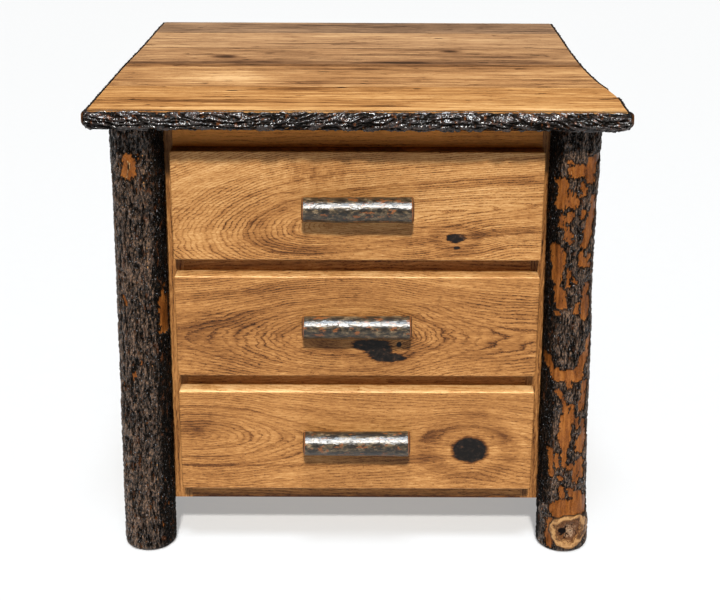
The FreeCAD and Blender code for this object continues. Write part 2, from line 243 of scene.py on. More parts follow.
# Solid hickory, planed and lacquered, for all the boards. Sawing flat through the log's yearly
# layers gives long thin lines, which close into ovals where a layer domes and part round a knot.
# Pores lie along the grain.
def hickory(
    name,
    axes,
    seed,
    tone=0.0,
    grey=0.0,
    pitch=0.0045,
    coarse=1.0,
    streaks=0.45,
    contrast=1.0,
    fan=None,
    rings=(),
    domes=(),
    knots=(),
    patches=(),
    curl=None,
    seams=(),
    face=0.0,
    jagged=(70, 0.018),
    painted_warm_bounce=0.0,
):
    """The finish of one board, or of boards that match. axes are the three directions along the
    grain, across it and through the board, seed is the log it comes from, and face is where the
    face that shows lies.

    tone makes the wood lighter and grey weathers it. The warm share is painted light: it makes a
    part that stands in shade warmer, as if lit by light bounced off the wood round it. pitch is
    the step between two lines, and contrast how dark they are. coarse is how fine the fibres
    are, and streaks how much the wood changes from streak to streak.

    fan is the middle of the board's nest of ovals, their tilt, how fast the layers climb to the
    left and to the right, how round the ovals are, and the climb past which they open out. jagged
    is how many jags their sides have in a metre, and how deep. A ring is a layer that is darker,
    half its thickness and by how much. A dome, knot or patch is given by its middle along and
    across, half its length and half its width, then by the layers it lifts, by how torn its rim
    is, or by how much lighter it is. curl is such a patch with a rippled grain, and seams are
    the lines where the board meets its neighbours."""
    finish = Finish(name)
    x, y, z = finish.places()
    order = {"x": x, "y": y, "z": z}
    along, across, through = [order[axis] for axis in axes]
    through = through - face

    def spread(u, v, half_length, half_width):
        """How far a place lies from a middle, squared: 1 on the rim of the oval."""
        return ((along - u) / half_length) ** 2 + ((across - v) / half_width) ** 2

    def mound(u, v, half_length, half_width):
        """1 in the middle of an oval, with a soft fall to 0 all round."""
        return (spread(u, v, half_length, half_width) * -1).math("EXPONENT")

    drift = finish.noise(along * 2.5 + seed, across * 8, through * 8, 2) - 0.5
    layer = across + through * 0.35 + drift * 0.03
    if fan:
        u, v, tilt, left, right, power, reach = fan
        jag = finish.noise(along * 14 + seed, across * jagged[0], through * 30, 3, 0.55) - 0.5
        sideways = along - u + jag * jagged[1]
        lift = (across - v - sideways * tilt + drift * 0.02).math("ABSOLUTE")
        to_right = sideways.math("MAXIMUM", sideways, 0)
        to_left = sideways.math("MINIMUM", sideways, 0)
        far = to_right * right - to_left * left
        far = far / (1 + (far / reach) ** 4) ** 0.25
        layer = (far**power + lift**power) ** (1 / power) + through * 0.35
    for u, v, half_length, half_width, rise in domes:
        layer = layer + mound(u, v, half_length, half_width) * rise
    for u, v, half_length, half_width, _ in knots[:1]:
        parting = mound(u, v, half_length * 2.6, half_width * 2.3)
        layer = layer - (across - v) * parting * 0.75
    zigzag = finish.noise(along * 26 + seed, across * 70, through * 40, 2) - 0.5
    tremble = finish.noise(along * 150 + seed, across * 420, through * 60, 2) - 0.5
    layer = layer + (zigzag * 1.5 + tremble * 0.45) * pitch
    grain = across + (layer - across) * 0.2
    thread = along * 80 * coarse + seed
    fibre = finish.noise(thread, grain * 820 * coarse, through * 160, 3, 0.7) - 0.5
    fleck = finish.noise(along * 170 * coarse + seed, grain * 700 * coarse, through * 200, 2, 0.6)
    pore = fleck.step(0.6, 0.69)
    gleam = 1 - fleck.step(0.31, 0.4)
    streak = finish.noise(along * 7 + seed, grain * 150, through * 60, 4, 0.65) - 0.5
    nicks = finish.noise(along * 36 + seed, across * 230 * coarse**0.55, through * 90, 2)
    nick = nicks.step(0.67, 0.76)
    band = finish.noise(along * 1.2 + seed, layer * 140, seed, 3, 0.6) - 0.5
    haze = finish.noise(along * 9 + seed, across * 16, through * 16, 3) - 0.5
    share = (layer / pitch + haze * 1.2).math("FRACT")
    line = share.step(0.45, 0.8) * (1 - share.step(0.86, 0.98))
    dots = finish.noise(along * 400 + seed, across * 700, through * 200, 2).step(0.40, 0.6)
    fade = finish.noise(along * 14 + seed, across * 26, seed + 5, 3).step(0.36, 0.62)
    shade = 0.6 + tone + band * 0.45 + haze * 0.3 + fibre * 0.85
    shade = shade + streak * streaks - nick * streaks * 0.5
    shade = shade - line * (0.09 + fade * 0.2) * (0.4 + dots * 0.8) * contrast
    shade = shade - pore * 0.2 + gleam * 0.1
    for ring, half_thickness, change in rings:
        within = (((layer - ring) / half_thickness) ** 2 * -1).math("EXPONENT")
        shade = shade - within * change * (fade * 0.6 + 0.6)
    for u, v, half_length, half_width, change in patches:
        ragged = finish.noise(along * 30 + u * 90, across * 150, seed, 3) * 1.4 + 0.3
        shade = shade + mound(u, v, half_length, half_width) * ragged * change
    if curl:
        u, v, half_length, half_width, change = curl
        ripple = finish.noise(along * 130, across * 60, seed + 3, 4, 0.65) - 0.5
        shade = shade + mound(u, v, half_length, half_width) * ripple * change
    for seam in seams:
        shade = shade - (1 - (across - seam).math("ABSOLUTE").step(0.0002, 0.0014)) * 0.4
    hearts = []
    for number, (u, v, half_length, half_width, torn) in enumerate(knots):
        torn_along, torn_across = along * (1.7 / half_length) + v * 50, across * (1.7 / half_width)
        rag = finish.noise(torn_along, torn_across, seed, 4, 0.6) - 0.5
        reach = spread(u, v, half_length, half_width) ** 0.5 + rag * torn
        shade = shade - (1 - reach.step(1, 1.22)) * 0.3
        if number == 0:
            eye = spread(u, v, half_length, half_width) ** 0.5 + haze * 1.6
            shade = shade + reach.step(1.05, 1.3) * (1 - eye.step(1.5, 1.9)) * 0.04
            shade = shade - eye.step(1.5, 2.3) * (1 - eye.step(2.5, 3.4)) * 0.12
        hearts.append((1 - reach.step(0.92, 1.05), torn))
    stops = [
        (0, (0.022, 0.0075, 0.002)),
        (0.22, (0.090, 0.0315, 0.008)),
        (0.42, (0.195, 0.080, 0.0215)),
        (0.6, (0.308, 0.141, 0.043)),
        (0.8, (0.43, 0.230, 0.083)),
        (1, (0.56, 0.34, 0.152)),
    ]
    colour = finish.ramp(shade, stops)
    if grey:
        weathered = finish.ramp(shade, [(0.1, (0.037, 0.024, 0.016)), (0.9, (0.345, 0.25, 0.172))])
        colour = finish.mix(grey, colour, weathered)
    # Painted light: a warmer colour that stands in for light bounced into parts that lie in shade.
    if painted_warm_bounce:
        bounce_warmed = finish.ramp(shade, [(0.1, (0.05, 0.011, 0.001)), (0.9, (0.62, 0.235, 0.035))])
        colour = finish.mix(painted_warm_bounce, colour, bounce_warmed)
    roughness = 0.45 + pore * 0.12
    for heart, torn in hearts:
        crust = finish.noise(along * 150, across * 220, seed, 4, 0.6) + (torn * 0.1 - 0.13)
        char = finish.ramp(
            crust,
            [
                (0.42, (0.004, 0.003, 0.0025)),
                (0.55, (0.012, 0.008, 0.006)),
                (0.64, (0.045, 0.021, 0.011)),
                (0.74, (0.13, 0.055, 0.022)),
            ],
        )
        colour = finish.mix(heart, colour, char)
        roughness = roughness - heart * 0.15
    return finish.surface(colour, roughness, fibre - pore * 0.5, 0.0002, specular_ior_level=0.16)


def dress(finish, *nodes):
    """Gives the finish to pieces whose solids are drawn as they are."""
    for node in nodes:
        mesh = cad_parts[node].data
        mesh.materials.clear()
        mesh.materials.append(finish)


# Legs: four hickory logs with their bark on, sawn square with the foot eased, notched round the
# corners of the case and screwed to it from inside. They stand further out at the foot, and where
# bark has come away the smooth red-brown layer below it shows.
leg_foot_radius = 0.031
leg_top_radius = 0.0295
leg_foot_ease = 0.0045
leg_height = 0.554
leg_foot_x = 0.2618
leg_lean = 0.0063
leg_front_y = -0.216
log_swell = 0.0006
ridge_height = 0.0026
ridge_sink = 0.0009
bare_sink = 0.0008
smooth_foot = 0.007
scar_rise = 0.0010
knot_grain_rise = 0.0006
knot_rim_rise = 0.0012
knot_crack_depth = 0.0012
knot_rim = 0.88
knot_free = 9.0
hair = 0.00001


def pick(piece):
    """Selects this piece alone, for the tools that come next."""
    bpy.ops.object.select_all(action="DESELECT")
    piece.select_set(True)
    bpy.context.view_layer.objects.active = piece


def turn_log(name, foot, head, facets, cuts):
    """A round log from its foot to its head, its lower rim eased, cut across into close rings."""
    bpy.ops.object.select_all(action="DESELECT")
    inner = leg_foot_radius - leg_foot_ease
    bpy.ops.mesh.primitive_circle_add(
        vertices=facets, radius=inner, fill_type="NGON", location=foot
    )
    log = bpy.context.object
    log.name = name
    bpy.ops.object.transform_apply(location=True, rotation=False, scale=False)
    bpy.ops.object.mode_set(mode="EDIT")
    rise = head.z - foot.z
    stations = []
    for turn in (30, 60, 90):
        lift = leg_foot_ease * (1 - math.cos(math.radians(turn)))
        inset = leg_foot_ease * (1 - math.sin(math.radians(turn)))
        stations.append((lift / rise, leg_foot_radius - inset))
    for share in (0.34, 0.67, 1):
        stations.append((share, leg_foot_radius + (leg_top_radius - leg_foot_radius) * share))
    last_share, last_radius = 0, inner
    for share, radius in stations:
        climb = (head - foot) * (share - last_share)
        bpy.ops.mesh.extrude_region_move(TRANSFORM_OT_translate={"value": climb})
        grow = radius / last_radius
        middle = foot + (head - foot) * share
        bpy.ops.transform.resize(value=(grow, grow, 1), center_override=middle)
        last_share, last_radius = share, radius
    bpy.ops.mesh.select_mode(type="EDGE")
    bpy.ops.mesh.select_all(action="DESELECT")
    net = bmesh.from_edit_mesh(log.data)
    for edge in net.edges:
        edge.select_set(abs(edge.verts[0].co.z - edge.verts[1].co.z) > rise / 4)
    bmesh.update_edit_mesh(log.data)
    bpy.ops.mesh.subdivide(number_cuts=cuts)
    bpy.ops.object.mode_set(mode="OBJECT")
    return log


def carve(piece, shape):
    """Moves each point of a piece to where its shape says, and keeps what its finish has to know:
    how far it is bark, how high it lies between furrow and ridge, and how far it is from a knot."""
    mesh = piece.data
    marks = {"bark": [], "relief": [], "knot": []}
    moved = []
    for point in mesh.vertices:
        place, bark, relief, knot = shape(point.co, point.normal)
        moved.extend(place)
        marks["bark"].append(bark)
        marks["relief"].append(relief)
        marks["knot"].append(knot)
    mesh.vertices.foreach_set("co", moved)
    for name, values in marks.items():
        mesh.attributes.new(name, "FLOAT", "POINT").data.foreach_set("value", values)
    mesh.polygons.foreach_set("use_smooth", [True] * len(mesh.polygons))
    mesh.update()


def ease(value, low, high):
    """0 below low, 1 above high and a smooth rise between them."""
    share = min(1.0, max(0.0, (value - low) / (high - low)))
    return share * share * (3 - 2 * share)


def cloud(x, y, z, octaves=3):
    """Cloudy values from about -1 to 1, one cloud to each unit of x, y and z."""
    return noise.fractal(Vector((x, y, z)), 0.9, 2.1, octaves)


def bow_at(bow, height):
    """How far a log bends sideways at a height, in millimetres. bow lists heights and bends."""
    for (low, first), (high, last) in zip(bow, bow[1:]):
        if height <= high:
            return first + (last - first) * ease(height, low, high)
    return bow[-1][1]


def log_shape(side, seed, bare, knots, bow, scars):
    """The shape of one leg's surface. bare says how far a place lies past the edge of the bark, in
    millimetres. A knot is its middle sideways and up, half its width and half its height in
    millimetres, and the depth of its hollow. scars are strokes of pale raised wood."""

    def shape(co, normal):
        x, y, z = co
        offset = (x - side * (leg_foot_x - leg_lean * z / leg_height)) * 1000
        height = z * 1000
        front = y < leg_front_y
        ridge = 1 - abs(cloud(x * 150 + seed, y * 150, z * 34, 3)) * 2.0
        scale = abs(cloud(x * 320 + seed, y * 320, z * 105, 2))
        grit = cloud(x * 700 + seed, y * 700, z * 420, 2)
        relief = 0.36 * ease(ridge, 0, 1) + 0.44 * ease(scale, 0.02, 0.4) + 0.2 * (0.5 + 0.7 * grit)
        relief = min(1, max(0, relief))
        torn = 2.4 * cloud(x * 190 + seed, y * 190, z * 100, 3)
        torn += 2.5 * cloud(x * 560, y * 560, z * 330, 2)
        gone = bare(offset, height, front, co) + torn
        bark = 1 - ease(gone, -0.35, 0.35)
        push = cloud(x * 9 + seed, y * 9, z * 7, 2) * log_swell
        push += bark * (relief * ridge_height - ridge_sink) - (1 - bark) * bare_sink
        reach = knot_free
        if front and scars:
            frayed = 0.6 * cloud(x * 400, y * 400, z * 300, 2)
            scar = ease(past_strokes(scars, offset, height) + frayed, -0.5, 0.6)
            push += scar * scar_rise
            reach = knot_free - scar * (knot_free - knot_rim)
        if front:
            for middle, lift, half_width, half_height, hollow in knots:
                across, up = (offset - middle) / half_width, (height - lift) / half_height
                if abs(across) > 1.4 or abs(up) > 1.4:
                    continue
                wave = 0.8 / half_width**0.6 * cloud(x * 70, y * 70, z * 70, 2)
                reach = math.hypot(across, up) + wave
                inside = 1 - ease(reach, 0.95, 1.02)
                rim = ease(reach, 0.5, 0.8) * (1 - ease(reach, 0.9, 1.1))
                rough = knot_grain_rise * cloud(x * 300, y * 300, z * 240, 3)
                push = push * (1 - inside) + inside * rough
                push += rim * knot_rim_rise - (1 - ease(reach, 0.2, 0.62)) * hollow
                bark *= 1 - inside
                if inside > 0.5:
                    crack = abs(cloud(x * 95 + 4, y * 95, z * 95, 2))
                    relief = ease(crack + 0.35 * ease(reach, 0.5, 0.9), 0.02, 0.09)
                    relief *= ease(math.hypot(across + 0.36, up * 1.15 - 0.02), 0.17, 0.27)
                    push -= (1 - relief) * knot_crack_depth
        place = co + normal * push * min(1, z / smooth_foot)
        bend = bow_at(bow, height) / 1000
        place.x += bend * (0.62 + 0.38 * min(1, max(-1, side * offset / 30)))
        # Painted shade: on the side of the log that faces the case, the relief kept for the finish
        # is lowered, so the bark there is coloured darker and given less lacquer. Its shape stays
        # as it is.
        if reach > 8:
            relief *= 1 - 0.65 * ease(-side * offset, 12, 25)
        return place, bark, relief, reach

    return shape


# Where the bark has come away on the front legs, stroke by stroke. Each stroke runs from one place
# to another, sideways from the middle of the log and up from the floor, and has half a width, all
# in millimetres. Tongues and islands of bark are left between the strokes.
right_strokes = (
    (-4, 499, 16, 498, 6.4),
    (17, 508, 23, 511, 5.2),
    (13, 494, 18, 488, 4.0),
    (-10, 509, -7, 507, 1.6),
    (-16, 481, -18, 455, 4.2),
    (-22, 484, -16, 486, 1.8),
    (-8, 476, -8, 458, 1.3),
    (-2, 470, -3, 456, 0.9),
    (7, 482, 10, 471, 1.6),
    (4, 470, 2, 457, 1.0),
    (10, 450, 9, 444, 1.5),
    (-5, 446, -9, 439, 2.3),
    (-17, 441, -16, 430, 1.8),
    (-9, 429, -8, 415, 1.6),
    (-4, 422, -4, 412, 1.5),
    (23, 465, 23, 459, 1.5),
    (25, 455, 23, 445, 2.7),
    (22, 445, 17, 415, 4.4),
    (15, 414, 13, 407, 2.7),
    (-21, 401, -18, 379, 5.8),
    (-20, 375, -19, 363, 4.1),
    (-17, 351, -14, 332, 4.4),
    (-11, 347, -9, 333, 2.6),
    (-18, 322, -16, 321, 1.6),
    (-12, 396, -12, 385, 1.8),
    (-5, 376, -6, 358, 1.6),
    (3, 364, 4, 363, 1.8),
    (10, 399, 9, 385, 1.8),
    (21, 393, 16, 387, 2.3),
    (15, 383, 23, 381, 1.8),
    (21, 357, 18, 346, 2.6),
    (19, 339, 18, 320, 4.7),
    (10, 335, 7, 325, 1.8),
    (26, 289, 24, 269, 1.8),
    (20, 266, 13, 248, 4.3),
    (-28, 263, -22, 249, 2.9),
    (-15, 242, 12, 242, 6.7),
    (0, 237, 1, 229, 2.1),
    (23, 229, 19, 197, 2.4),
    (-14, 221, -10, 216, 1.9),
    (-7, 213, -1, 193, 2.0),
    (0, 185, -2, 153, 6.4),
    (7, 201, 6, 180, 2.6),
    (22, 155, 19, 143, 5.3),
    (14, 183, 14, 173, 1.5),
    (22, 179, 24, 161, 1.8),
    (-3, 142, -4, 122, 2.0),
    (-12, 136, -11, 119, 1.8),
    (-20, 141, -18, 107, 1.8),
    (4, 119, 6, 121, 1.7),
    (20, 124, 14, 112, 4.4),
    (12, 111, 14, 100, 2.0),
    (21, 113, 21, 103, 2.4),
    (-9, 105, -7, 104, 1.6),
    (-5, 89, -4, 81, 2.7),
    (7, 88, 8, 81, 2.4),
    (-9, 61, 20, 66, 10.1),
    (16, 79, 22, 70, 5.8),
    (-18, 42, -19, 11, 2.9),
    (9, 57, 23, 55, 4.6),
)
left_strokes = (
    (-7, 510, -4, 505, 7.5),
    (-4, 505, -7, 494, 8.6),
    (-13, 494, -14, 491, 3.0),
    (-19, 503, -20, 500, 1.2),
    (5, 516, 6, 512, 0.8),
    (26, 336, 27, 294, 4.6),
    (27, 352, 26, 336, 1.6),
    (-19, 341, -16, 331, 2.0),
    (-26, 441, -25, 438, 1.2),
    (-8, 246, -7, 241, 1.6),
    (-1, 262, 0, 256, 1.4),
)
left_scars = ((-10, 512, -5, 506, 1.4), (-5, 506, -6, 500, 2.3), (-6, 500, -9, 488, 1.4))
# How far each log bends sideways at a height above the floor, both in millimetres.
straight = ((0, 0.0), (554, 0.0))
left_bow = ((440, 0.0), (554, -1.7))
right_bow = (
    (30, 0.0),
    (61, -1.8),
    (95, -3.4),
    (178, -5.6),
    (226, -5.0),
    (290, -5.3),
    (352, -6.9),
    (443, -6.0),
    (501, -4.1),
    (554, -3.0),
)


def past_strokes(strokes, offset, height):
    """How far a place on a leg's front lies inside the strokes, in millimetres."""
    best = -9.0
    for first, low, last, high, half_width in strokes:
        if abs(height - (low + high) / 2) > abs(high - low) / 2 + half_width + 9:
            continue
        run, climb = last - first, high - low
        share = ((offset - first) * run + (height - low) * climb) / (run * run + climb * climb)
        share = min(1, max(0, share))
        away = math.hypot(offset - first - share * run, height - low - share * climb)
        best = max(best, half_width - away)
    return best


def bare_front_right(offset, height, front, co):
    """The front right log has lost much of its bark in front, and some behind."""
    if front:
        return past_strokes(right_strokes, offset, height) + 2.0
    return 6 * cloud(co.x * 35, co.y * 35, co.z * 14, 2) - 3.0


def bare_front_left(offset, height, front, co):
    """The front left log has lost a few pieces, and small flakes, more of them towards the foot."""
    flake = 5.2 * cloud(co.x * 260 + 3, co.y * 260, co.z * 90, 2) - 5.0
    flake += 0.9 * ease(0.4 - co.z, 0, 0.25)
    if front:
        return max(past_strokes(left_strokes, offset, height), flake)
    return flake


def bare_back(offset, height, front, co):
    """The back logs have lost patches all round."""
    return 7 * cloud(co.x * 45 + 2, co.y * 45, co.z * 18, 3) - 3.2


def bark_finish(name, roughness, light_ridge, dark_ridge, flake, depth, glint, gloss, coat):
    """Lacquered bark: black in its furrows and lighter on its ridges, and red-brown where it is
    gone. The black in the furrows is partly the bark's own colour and partly painted shade, and
    the pale specks are painted glints. flake is how rusty its spots are, depth how deep its grit
    is and glint how much of it pale specks cover. gloss is the lacquer's roughness, and coat how
    thick it lies."""
    finish = Finish(name)
    x, y, z = finish.places()
    bark = finish.mark("bark")
    relief = finish.mark("relief")
    knot = finish.mark("knot")
    grit = finish.noise(x * 620, y * 620, z * 300, 4, 0.72)
    sand = finish.noise(x * 1100, y * 1100, z * 1000, 2, 0.6)
    # Painted glints: pale specks put into the colour, standing in for sparkles of light on the
    # lacquer.
    painted_glint = finish.noise(x * 640 + 7, y * 640, z * 560, 2).step(0.76 - glint, 0.82 - glint)
    patch = finish.noise(x * 60, y * 60, z * 26, 3, 0.55)
    # Lower bark is coloured darker, down to near black in the furrows: partly the bark's own darker
    # furrows, partly painted shade.
    shade = relief * 0.85 + (grit - 0.5) * 2.2 + (sand - 0.5) * 0.8 + (patch - 0.5) * 0.4 - 0.04
    crust = finish.ramp(
        shade,
        [
            (0.10, (0.001, 0.0008, 0.0006)),
            (0.32, (0.007, 0.0045, 0.003)),
            (0.48, dark_ridge),
            (0.7, light_ridge),
            (0.95, tuple(part * 2.2 for part in light_ridge)),
        ],
    )
    rust = finish.noise(x * 230, y * 230, z * 90, 3).step(0.60, 0.68)
    crust = finish.mix(rust * flake, crust, (0.105, 0.034, 0.010))
    crust = finish.mix(painted_glint * 0.8, crust, (0.25, 0.255, 0.27))
    streak = finish.noise(x * 240, y * 240, z * 34, 3, 0.6)
    under = finish.ramp(
        streak * 0.7 + patch * 0.5 + (sand - 0.5) * 0.5 + (grit - 0.5) * 0.35 - 0.1,
        [(0.26, (0.035, 0.010, 0.002)), (0.5, (0.140, 0.043, 0.008)), (0.74, (0.25, 0.092, 0.020))],
    )
    # A near-black rim is painted where the bark stops: partly the bark's dark broken edge, partly
    # painted shade of its step.
    edge = bark.step(0.02, 0.25) * (1 - bark.step(0.75, 1))
    colour = finish.mix(bark.step(0.3, 0.6), under, crust)
    colour = finish.mix(edge * 0.85, colour, (0.004, 0.003, 0.002))
    swirl = finish.noise(x * 75, y * 75, z * 75, 4, 0.62)
    layers = ((knot * 5 + swirl * 9).math("FRACT") - 0.5) * 0.4 * (1 - knot.step(0.5, 0.75))
    heartwood = finish.ramp(
        knot + (swirl - 0.5) * 1.2 + layers,
        [
            (0.08, (0.22, 0.14, 0.085)),
            (0.25, (0.10, 0.044, 0.018)),
            (0.42, (0.032, 0.011, 0.004)),
            (0.56, (0.13, 0.050, 0.015)),
            (0.67, (0.028, 0.011, 0.004)),
            (0.75, (0.21, 0.102, 0.037)),
            (0.92, (0.33, 0.185, 0.075)),
            (1, (0.18, 0.088, 0.032)),
        ],
    )
    heartwood = finish.mix(knot.step(0.93, 0.99), heartwood, (0.03, 0.014, 0.006))
    # Painted shade: the knot's cracks are coloured near black.
    heartwood = finish.mix(1 - relief.step(0.15, 0.7), heartwood, (0.003, 0.002, 0.002))
    colour = finish.mix(1 - knot.step(0.99, 1.05), colour, heartwood)
    rough = roughness + (1 - bark) * 0.1 + (patch - 0.5) * 0.2
    height = (grit + sand * 0.5) * bark + streak * (1 - bark) * 0.2
    lacquer = relief.step(0.3, 0.65) * (1 - edge * 0.5) * (0.4 + bark * 0.6) * coat
    values = dict(specular_ior_level=0.04, coat_roughness=gloss)
    return finish.surface(colour, rough, height, depth, lacquer, **values)


leg_bark = bark_finish(
    "leg_bark",
    roughness=0.3,
    light_ridge=(0.080, 0.046, 0.027),
    dark_ridge=(0.025, 0.0135, 0.007),
    flake=0.35,
    depth=0.0020,
    glint=0.10,
    gloss=0.2,
    coat=0.55,
)
sawn_hickory = hickory("sawn_hickory", "zxy", 4.0)
case_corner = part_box("stile_right")[1].x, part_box("side_panel_right")[1].y
case_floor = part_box("stile_right")[0].z


def make_leg(node, side, end, steps, bare, knots=(), bow=straight, scars=()):
    """One leg, with the notch sawn out of it that takes the corner of the case. steps are how many
    facets it has round and how many cuts along each third."""
    low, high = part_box(node)
    outer, inner = (low.x, high.x) if side < 0 else (high.x, low.x)
    middle_y = low.y + leg_foot_radius if end < 0 else high.y - leg_foot_radius
    foot = Vector((outer - side * leg_foot_radius, middle_y, low.z))
    head = Vector((inner + side * leg_top_radius, middle_y, high.z))
    log = turn_log(node + "_log", foot, head, *steps)
    carve(log, log_shape(side, side * 3 + end, bare, knots, bow, scars))
    corner_x, corner_y = case_corner
    bpy.ops.object.select_all(action="DESELECT")
    centre = (side * corner_x / 2, end * corner_y / 2, case_floor + high.z / 2)
    bpy.ops.mesh.primitive_cube_add(size=1, location=centre, scale=(corner_x, corner_y, high.z))
    saw = bpy.context.object
    notch = log.modifiers.new("notch", "BOOLEAN")
    notch.operation = "DIFFERENCE"
    notch.solver = "EXACT"
    notch.object = saw
    pick(log)
    bpy.ops.object.modifier_apply(modifier=notch.name)
    bpy.data.objects.remove(saw)
    log.data.materials.clear()
    log.data.materials.append(leg_bark)
    log.data.materials.append(sawn_hickory)
    for face in log.data.polygons:
        middle = face.center
        on_notch = min(abs(abs(middle.x) - corner_x), abs(abs(middle.y) - corner_y)) < hair
        at_end = abs(face.normal.z) > 0.99 and (middle.z < 0.001 or middle.z > high.z - 0.001)
        if at_end or on_notch:
            face.material_index = 1
            face.use_smooth = False
    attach(log, "case")
    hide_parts(node)


front_steps = 256, 123
back_steps = 160, 80
foot_knot = (5.5, 30, 25, 24, 0.0014)
make_leg("leg_front_left", -1, -1, front_steps, bare_front_left, bow=left_bow, scars=left_scars)
make_leg("leg_front_right", 1, -1, front_steps, bare_front_right, [foot_knot], right_bow)
make_leg("leg_back_left", -1, 1, back_steps, bare_back)
make_leg("leg_back_right", 1, 1, back_steps, bare_back)


# The case: stiles and rails of solid hickory, tenoned and glued into a face frame, two hickory
# side panels behind it, a plywood bottom in grooves, a plywood back screwed into rabbets, and pine
# cleats and strips inside.
# Painted shadow: the lower edge of the bottom rail is darkened, as if the bottom drawer's front
# shaded it.
painted_rail_shadow = (0, 0.0565, 9, 0.0035, -0.5)
panel_fan = (0.3, 0.02, 0.03, 0.28, 0.36, 1.8, 0.2)
stile_wood = hickory("stile_wood", "zxy", 1.3, tone=-0.1)
# The rails lie in shade between the fronts: a little painted warm bounced light.
rail_wood = hickory("rail_wood", "xzy", 8.1, tone=-0.04, painted_warm_bounce=0.25, patches=[painted_rail_shadow])
panel_wood = hickory("panel_wood", "zyx", 5.7, pitch=0.003, fan=panel_fan)
dress(stile_wood, "stile_left", "stile_right")
# The top rail lies in the shade of the top: it is made lighter and warmer, painted bounced light.
dress(hickory("top_rail_wood", "xzy", 9.6, tone=0.24, painted_warm_bounce=0.9), "top_rail")
dress(rail_wood, "mid_rail_upper", "mid_rail_lower", "bottom_rail")
dress(panel_wood, "side_panel_left", "side_panel_right")


def plain_wood(name, axes, light, dark, seed, roughness=0.55):
    """Pale close-grained wood: maple drawer boxes, the faces of plywood, and the pine inside."""
    finish = Finish(name)
    x, y, z = finish.places()
    order = {"x": x, "y": y, "z": z}
    along, across, through = [order[axis] for axis in axes]
    warp = finish.noise(along * 4 + seed, across * 14, through * 14, 2)
    layer = across + through * 0.5 + warp * 0.02
    band = finish.noise(along * 3 + seed, layer * 120, seed, 3)
    fibre = finish.noise(along * 60, layer * 1400, through * 300, 3, 0.6)
    shade = (band - 0.5) * 0.8 + (fibre - 0.5) * 0.5 + 0.5
    colour = finish.ramp(shade, [(0.2, dark), (0.8, light)])
    return finish.surface(colour, roughness + (fibre - 0.5) * 0.1, fibre, 0.00015)


plywood_face = plain_wood("plywood_face", "xyz", (0.52, 0.375, 0.22), (0.4, 0.255, 0.135), 5.0)
plywood_back = plain_wood("plywood_back", "zxy", (0.46, 0.32, 0.18), (0.34, 0.205, 0.1), 6.0)
planed_pine = plain_wood("planed_pine", "yzx", (0.5, 0.345, 0.195), (0.38, 0.235, 0.115), 9.0, 0.65)
dress(plywood_back, "back_panel")
dress(plywood_face, "bottom_panel")
dress(planed_pine, "top_cleats", "slide_packers", "back_rail")


# Fastenings and slides: zinc-plated steel. The slides' fixed members are screwed to strips on the
# side panels, and screws hold the legs, the top and the back.
def zinc(name, colour, roughness):
    """Zinc plate on steel, with the faint cloudy spangle of the bath."""
    finish = Finish(name)
    x, y, z = finish.places()
    spangle = finish.noise(x * 260, y * 60, z * 260, 3, 0.6)
    tint = finish.ramp(spangle, [(0.3, tuple(c * 0.85 for c in colour)), (0.7, colour)])
    return finish.surface(tint, roughness + (spangle - 0.5) * 0.2, spangle, 0.00003, metallic=1.0)


slide_zinc = zinc("slide_zinc", (0.66, 0.67, 0.69), 0.34)
screw_zinc = zinc("screw_zinc", (0.62, 0.6, 0.54), 0.3)
dress(slide_zinc, "slide_case_members")
dress(screw_zinc, "leg_screws", "top_screws", "back_screws", "slide_screws")


# The top: five hickory boards glued edge to edge, sanded flush, lacquered, and screwed down through
# the cleats. Each board has its own colour and figure, with a fine line where two of them meet.
top_boards = {
    "top_board_front": dict(
        seed=15.9,
        tone=0.06,
        patches=[
            (-0.2, -0.225, 0.2, 0.010, -0.34),
            (0.05, -0.262, 0.5, 0.010, 0.14),
            (-0.065, -0.160, 0.035, 0.010, -0.4),
            (0.03, -0.247, 0.045, 0.007, -0.4),
        ],
    ),
    "top_board_second": dict(
        seed=14.2,
        tone=-0.01,
        grey=0.15,
        patches=[
            (-0.17, -0.100, 0.055, 0.032, 0.36),
            (-0.065, -0.125, 0.040, 0.018, -0.16),
            (0.0, -0.026, 0.5, 0.008, -0.30),
            (-0.03, -0.05, 0.07, 0.004, -0.3),
        ],
    ),
    "top_board_middle": dict(
        seed=13.7,
        tone=-0.05,
        grey=0.3,
        patches=[
            (-0.1, -0.008, 0.5, 0.012, -0.34),
            (0.18, 0.03, 0.06, 0.006, -0.3),
            (-0.174, 0.028, 0.016, 0.010, -0.7),
            (0.123, 0.067, 0.012, 0.008, -0.6),
            (0.05, -0.008, 0.035, 0.005, -0.5),
        ],
    ),
    "top_board_fourth": dict(
        seed=12.5,
        tone=0.04,
        grey=0.35,
        patches=[(0.06, 0.155, 0.25, 0.010, 0.12), (-0.06, 0.120, 0.10, 0.005, -0.2)],
    ),
    "top_board_back": dict(
        seed=11.0,
        tone=-0.16,
        grey=0.55,
        patches=[(0.05, 0.25, 0.2, 0.012, -0.12)],
    ),
}
board_order = list(top_boards)
for place, node in enumerate(board_order):
    lines = [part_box(board)[0].y for board in board_order[max(1, place) : place + 2]]
    figure = dict(coarse=0.25, streaks=1.15, seams=lines, **top_boards[node])
    dress(hickory(node + "_wood", "xyz", **figure), node)


# Live edge: the log's own bark, left on the front of the first board, thick, ridged and lacquered,
# and the thin bark left down both sides of the top.
def copy_solid(node, name):
    """A copy of a piece's mesh, with its loose triangles joined. It is left open in edit mode."""
    piece = bpy.data.objects.new(name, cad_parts[node].data.copy())
    bpy.context.scene.collection.objects.link(piece)
    piece.data.materials.clear()
    pick(piece)
    bpy.ops.object.mode_set(mode="EDIT")
    bpy.ops.mesh.select_all(action="SELECT")
    bpy.ops.mesh.remove_doubles(threshold=hair)
    return piece


